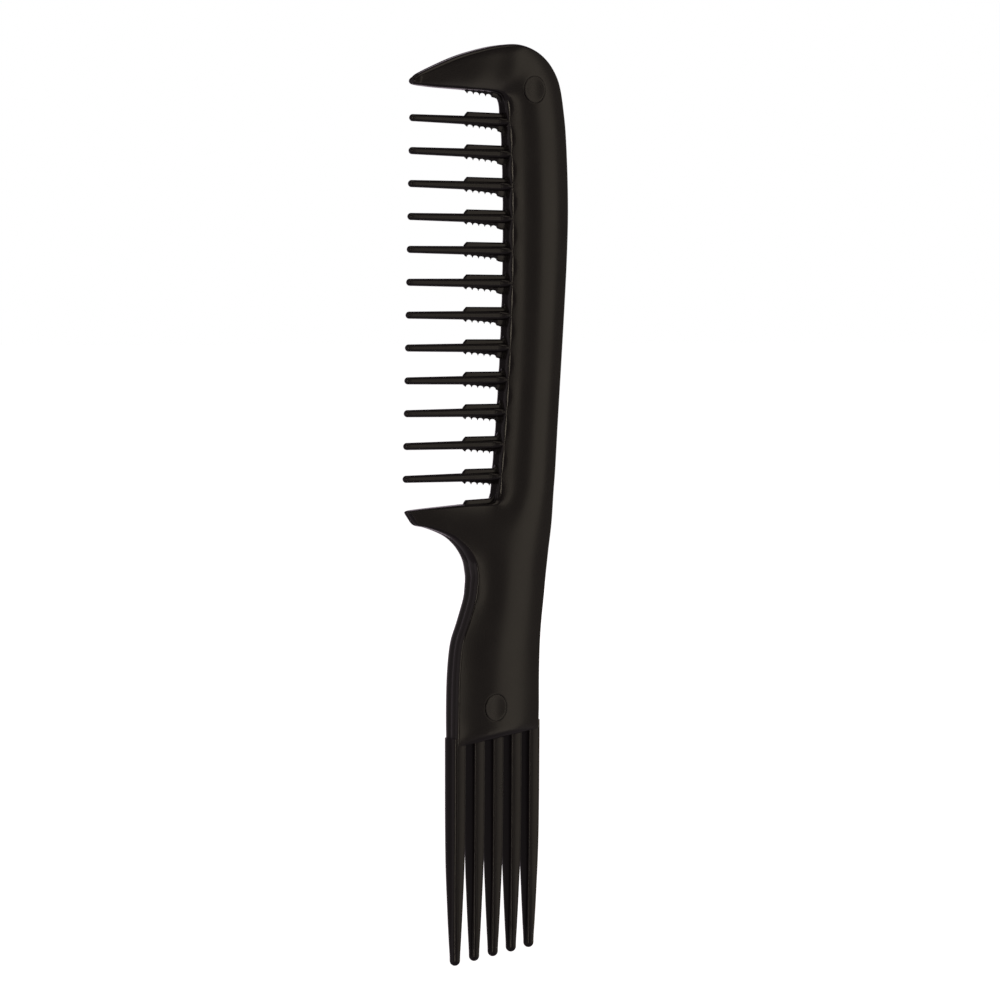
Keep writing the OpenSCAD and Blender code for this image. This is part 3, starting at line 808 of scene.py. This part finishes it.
def prong(i):
    """Long tapering prong with a round tip."""
    x0 = prong_x(i)
    x1 = x0 - TIP_LEAN
    z0, z1 = end_z(x0), TIP_SLOPE * (x0 - prong_x(0))
    long = z0 - z1
    r_end = PRONG_TIP / 2
    shares, tapers = zip(*PRONG_STEPS)
    sections = []
    for s in np.linspace(-2.2 / long, 1 - r_end / long, 70):
        t = float(np.interp(s, shares, tapers))
        w = PRONG_W + (PRONG_TIP - PRONG_W) * t
        d = PRONG_D + (PRONG_TIP - PRONG_D) * t
        power = 7 - 5 * float(smoothstep((s - 0.4) / 0.58))
        puff = OUTER_PUFF * (1 - t)
        ends = {"left": puff if i == 0 else 0.0, "right": puff if i == PRONGS - 1 else 0.0}
        down = max(s, 0)
        x, z = x0 + (x1 - x0) * down, z0 - long * s
        sections.append(np.array([(x + a, b, z + END_SLOPE * a * (1 - down))
                                  for a, b in soft_box(w, d, power, **ends)]))
    for a in END_ARC:
        s = 1 - r_end * (1 - math.sin(math.radians(a))) / long
        w = PRONG_TIP * math.cos(math.radians(a))
        sections.append(np.array([(x1 + p, q, z0 - long * s) for p, q in soft_box(w, w, 2)]))
    return loft(sections)


def tang():
    """Flat root of the fork inside the handle."""
    w, z_top, r = HALF_W - 1.5, grip_z(TANG_SHARE), 3.0
    pts = [(w, end_z(w) + 0.3)]
    pts += [(w + r * (math.cos(a) - 1), z_top + r * (math.sin(a) - 1))
            for a in np.linspace(0, np.pi / 2, 10)]
    pts += [(-w + r * (math.cos(a) + 1), z_top + r * (math.sin(a) - 1))
            for a in np.linspace(np.pi / 2, np.pi, 10)]
    pts += [(-w, end_z(-w) + 0.3)]
    return loft([np.array([(x, y, z) for x, z in pts]) for y in (-TANG_T / 2 + 0.5, TANG_T / 2 - 0.5)])


fork = tidy_mesh(make("fork", *joined([prong(i) for i in range(PRONGS)] + [tang()])), 38)


# ---------------------------------------------------------------- pins
DISH = 0.2  # depth of the hollow in each disc
PIN_SIDES = 72
DISC_MIDDLE_R = 0.004


def pin_mesh(at, node):
    """Round pin with a shallow dished disc at both ends."""
    half = (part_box(node)[1].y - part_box(node)[0].y) / 2 / MM
    dish_r = RIVET_R - 0.5
    prof = [(dish_r * k / 8, half - DISH * (1 - (k / 8) ** 2)) for k in range(8)]
    prof += [(dish_r + 0.06, half - 0.006), (dish_r + 0.2, half), (RIVET_R - 0.14, half),
             (RIVET_R - 0.05, half - 0.02), (RIVET_R - 0.01, half - 0.06), (RIVET_R, half - 0.14),
             (RIVET_R, half - 0.9)]
    prof += [(r, -y) for r, y in prof[::-1]]
    angles = np.linspace(0, 2 * np.pi, PIN_SIDES, endpoint=False)
    sections = []
    for r, y in prof:
        r = max(r, DISC_MIDDLE_R)
        sections.append(np.array([(at[0] + r * math.cos(a), y, at[1] + r * math.sin(a)) for a in angles]))
    return loft(sections)


pin_top = tidy_mesh(make("pin_top", *pin_mesh(RIVET_TOP, "upper_pin")), 50)
pin_low = tidy_mesh(make("pin_low", *pin_mesh(RIVET_LOW, "lower_pin")), 50)


# ---------------------------------------------------------------- moulded plastic
GRAIN_DEEP, FLOW_DEEP = 0.000004, 0.000024


def plastic(name, color, tint, rough, rough_vary, spec):
    """Black moulded plastic: fine grain, soft flow waves, uneven gloss, and a painted highlight that makes
    sharp convex edges paler in patches.
    """
    mat = bpy.data.materials.new(name)
    mat.use_nodes = True
    nt = mat.node_tree
    nodes, links = nt.nodes, nt.links
    bsdf = nodes["Principled BSDF"]
    bsdf.inputs["IOR"].default_value = 1.5
    bsdf.inputs["Specular IOR Level"].default_value = spec
    geo = nodes.new("ShaderNodeNewGeometry")
    coord = nodes.new("ShaderNodeTexCoord")

    def noise(scale, detail, seed):
        n = nodes.new("ShaderNodeTexNoise")
        n.noise_dimensions = "4D"
        n.inputs["W"].default_value = seed
        n.inputs["Scale"].default_value = scale
        n.inputs["Detail"].default_value = detail
        n.inputs["Roughness"].default_value = 0.55
        links.new(coord.outputs["Object"], n.inputs["Vector"])
        return n

    cloud = noise(38, 3, 1.7)
    mottle = noise(420, 2, 4.2)
    grain = noise(5200, 2, 9.1)
    flow = noise(95, 1, 6.4)
    # Painted highlight: sharp convex edges, found by pointiness, get a paler colour in noisy patches
    edge_highlight_ramp = nodes.new("ShaderNodeMapRange")
    edge_highlight_ramp.inputs["From Min"].default_value = 0.53
    edge_highlight_ramp.inputs["From Max"].default_value = 0.62
    links.new(geo.outputs["Pointiness"], edge_highlight_ramp.inputs["Value"])
    edge_highlight_mask = nodes.new("ShaderNodeMath")
    edge_highlight_mask.operation = "MULTIPLY"
    links.new(edge_highlight_ramp.outputs["Result"], edge_highlight_mask.inputs[0])
    links.new(mottle.outputs["Fac"], edge_highlight_mask.inputs[1])
    base = nodes.new("ShaderNodeMix")
    base.data_type = "RGBA"
    base.inputs["A"].default_value = (*color, 1)
    base.inputs["B"].default_value = (*tint, 1)
    links.new(cloud.outputs["Fac"], base.inputs["Factor"])
    painted_edge_highlight = nodes.new("ShaderNodeMix")
    painted_edge_highlight.data_type = "RGBA"
    painted_edge_highlight.inputs["B"].default_value = (*[c * 1.9 for c in tint], 1)
    links.new(edge_highlight_mask.outputs[0], painted_edge_highlight.inputs["Factor"])
    links.new(base.outputs["Result"], painted_edge_highlight.inputs["A"])
    links.new(painted_edge_highlight.outputs["Result"], bsdf.inputs["Base Color"])
    blend = nodes.new("ShaderNodeMath")
    blend.operation = "MULTIPLY_ADD"
    links.new(mottle.outputs["Fac"], blend.inputs[0])
    blend.inputs[1].default_value = 0.5
    links.new(flow.outputs["Fac"], blend.inputs[2])
    rmap = nodes.new("ShaderNodeMapRange")
    rmap.inputs["From Min"].default_value = 0.45
    rmap.inputs["From Max"].default_value = 1.05
    rmap.inputs["To Min"].default_value = rough - rough_vary
    rmap.inputs["To Max"].default_value = rough + rough_vary
    links.new(blend.outputs[0], rmap.inputs["Value"])
    links.new(rmap.outputs["Result"], bsdf.inputs["Roughness"])
    fine = nodes.new("ShaderNodeBump")
    fine.inputs["Strength"].default_value = 0.35
    fine.inputs["Distance"].default_value = GRAIN_DEEP
    links.new(grain.outputs["Fac"], fine.inputs["Height"])
    wavy = nodes.new("ShaderNodeBump")
    wavy.inputs["Strength"].default_value = 0.5
    wavy.inputs["Distance"].default_value = FLOW_DEEP
    links.new(flow.outputs["Fac"], wavy.inputs["Height"])
    links.new(fine.outputs["Normal"], wavy.inputs["Normal"])
    links.new(wavy.outputs["Normal"], bsdf.inputs["Normal"])
    return mat


shell_mat = plastic("satin_black_shell", (0.0098, 0.0082, 0.0088), (0.0125, 0.0104, 0.0108), 0.2, 0.03, 0.5)
# The rake's plastic is a darker copy of the shell's: painted shade for the toothed wall between the teeth
rake_mat = plastic("satin_black_rake", (0.0088, 0.0072, 0.0085), (0.0112, 0.0092, 0.0102), 0.25, 0.04, 0.5)
fork_mat = plastic("gloss_black_fork", (0.0088, 0.0072, 0.0088), (0.0115, 0.0095, 0.0108), 0.24, 0.04, 0.42)
pin_mat = plastic("satin_black_pin", (0.0125, 0.0108, 0.011), (0.016, 0.0138, 0.0138), 0.27, 0.04, 0.5)

PIECES = [
    (front, shell_mat, "shell", "front_half"),
    (rear, shell_mat, "shell", "back_half"),
    (rake, rake_mat, "rake", "tooth_rake"),
    (fork, fork_mat, "fork", "lift_fork"),
    (pin_top, pin_mat, "pin", "upper_pin"),
    (pin_low, pin_mat, "pin", "lower_pin"),
]
for ob, mat, slot, node in PIECES:
    ob.data.materials.clear()
    ob.data.materials.append(mat)
    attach(ob, "root")
    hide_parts(node)

# ---------------------------------------------------------------- floor, light and camera
floor_mat = bpy.data.materials.new("floor")
floor_mat.use_nodes = True
floor_bsdf = floor_mat.node_tree.nodes["Principled BSDF"]
floor_bsdf.inputs["Base Color"].default_value = (0.9, 0.9, 0.9, 1)
floor_bsdf.inputs["Roughness"].default_value = 0.9
floor_bsdf.inputs["Specular IOR Level"].default_value = 0.0
floor_bsdf.inputs["Emission Color"].default_value = (1, 1, 1, 1)
floor_bsdf.inputs["Emission Strength"].default_value = 0.97
bpy.ops.mesh.primitive_plane_add(size=60, location=(0, 0, -0.0004))
floor = bpy.context.object
floor.name = "floor"
floor.data.materials.append(floor_mat)
# The floor is only seen: it takes no shadow and sends no light to the comb
floor.visible_glossy = False
floor.visible_diffuse = False
floor.visible_shadow = False

scene = bpy.context.scene
scene.view_settings.view_transform = "Standard"

# The room is white to the camera and dim in reflections, a little brighter from below
world = bpy.data.worlds.new("studio")
world.use_nodes = True
wn, wl = world.node_tree.nodes, world.node_tree.links
room = wn["Background"]
room.inputs["Color"].default_value = (1.0, 0.86, 0.92, 1)
way = wn.new("ShaderNodeTexCoord")
axes = wn.new("ShaderNodeSeparateXYZ")
below = wn.new("ShaderNodeMapRange")
below.inputs["From Min"].default_value = -0.2
below.inputs["From Max"].default_value = -0.42
below.inputs["To Min"].default_value = 0.06
below.inputs["To Max"].default_value = 0.15
wl.new(way.outputs["Generated"], axes.inputs[0])
wl.new(axes.outputs["Z"], below.inputs["Value"])
wl.new(below.outputs["Result"], room.inputs["Strength"])
white = wn.new("ShaderNodeBackground")
white.inputs["Color"].default_value = (1, 1, 1, 1)
white.inputs["Strength"].default_value = 1.0
path = wn.new("ShaderNodeLightPath")
pick = wn.new("ShaderNodeMixShader")
wl.new(path.outputs["Is Camera Ray"], pick.inputs[0])
wl.new(room.outputs[0], pick.inputs[1])
wl.new(white.outputs[0], pick.inputs[2])
wl.new(pick.outputs[0], wn["World Output"].inputs["Surface"])
scene.world = world

MID_Z = cad_box[1].z / 2
LIGHT_R = 1.4


def softbox(name, azimuth, elevation, width, height, radiance, colour):
    """Soft rectangular lamp that faces the middle of the comb; angles and sizes in degrees."""
    lamp = bpy.data.lights.new(name, "AREA")
    lamp.shape = "RECTANGLE"
    lamp.size = 2 * LIGHT_R * math.tan(math.radians(width / 2))
    lamp.size_y = 2 * LIGHT_R * math.tan(math.radians(height / 2))
    lamp.energy = 4 * radiance * lamp.size * lamp.size_y
    lamp.color = colour
    ob = bpy.data.objects.new(name, lamp)
    scene.collection.objects.link(ob)
    a, e = math.radians(azimuth), math.radians(elevation)
    way = Vector((math.sin(a) * math.cos(e), -math.cos(a) * math.cos(e), math.sin(e)))
    ob.location = Vector((0, 0, MID_Z)) + LIGHT_R * way
    ob.rotation_euler = (-way).to_track_quat("-Z", "Y").to_euler()
    ob.visible_camera = False
    return ob


def light_only(lamp, name, pieces):
    """Lets a lamp light some pieces and nothing else."""
    group = bpy.data.collections.new(name)
    for piece in pieces:
        group.objects.link(piece)
    lamp.light_linking.receiver_collection = group


WARM, COOL, DUSK = (1.0, 0.88, 0.7), (1.0, 0.84, 0.97), (1.0, 0.87, 0.88)
# Name, azimuth and elevation, width and height, radiance, colour
LAMPS = [
    ("fill_front", 50, 4, 118, 72, 0.085, WARM),
    ("strip_front", 14.5, 3, 6, 56, 0.64, WARM),
    ("box_right", 45, 3, 18, 56, 0.39, WARM),
    ("box_rim", 93, 0, 27, 42, 0.5, WARM),
    ("strip_lens", -42, 0, 8, 40, 3.2, WARM),
    ("box_left", -94, 4, 48, 78, 0.22, DUSK),
    ("fill_back", 160, 0, 90, 42, 0.12, COOL),
    ("box_back", 172, 0, 26, 42, 0.4, COOL),
    ("box_rear", 138, 0, 24, 60, 0.36, COOL),
    ("top", 20, 78, 50, 40, 0.4, WARM),
    ("box_side", -146, 4, 50, 78, 0.1, DUSK),
    ("box_side_fork", -146, 4, 50, 60, 0.045, DUSK),
]
lamps = {row[0]: softbox(*row) for row in LAMPS}
# One lamp for both would light the gaps between the prongs too much
light_only(lamps["box_side"], "lit_from_the_side", [front, rear])
light_only(lamps["box_side_fork"], "fork_lit_from_the_side", [fork])

CAM_AZIMUTH, CAM_ELEVATION, CAM_DISTANCE = math.radians(-40), math.radians(2.55213), 913.0716
AIM_X, AIM_UNDER_HOOK = 2.3, 97.32
aim = Vector(((AIM_X + FRAME_X) * MM, 0, (Z_HOOK - AIM_UNDER_HOOK) * MM))
to_cam = Vector((math.sin(CAM_AZIMUTH) * math.cos(CAM_ELEVATION),
                 -math.cos(CAM_AZIMUTH) * math.cos(CAM_ELEVATION),
                 math.sin(CAM_ELEVATION)))
cam = bpy.data.cameras.new("camera")
cam.sensor_width = 36
cam.lens = 137.304
cam.clip_end = 100
cam_ob = bpy.data.objects.new("camera", cam)
scene.collection.objects.link(cam_ob)
cam_ob.location = aim + CAM_DISTANCE * MM * to_cam
cam_ob.rotation_euler = (-to_cam).to_track_quat("-Z", "Y").to_euler()
scene.camera = cam_ob
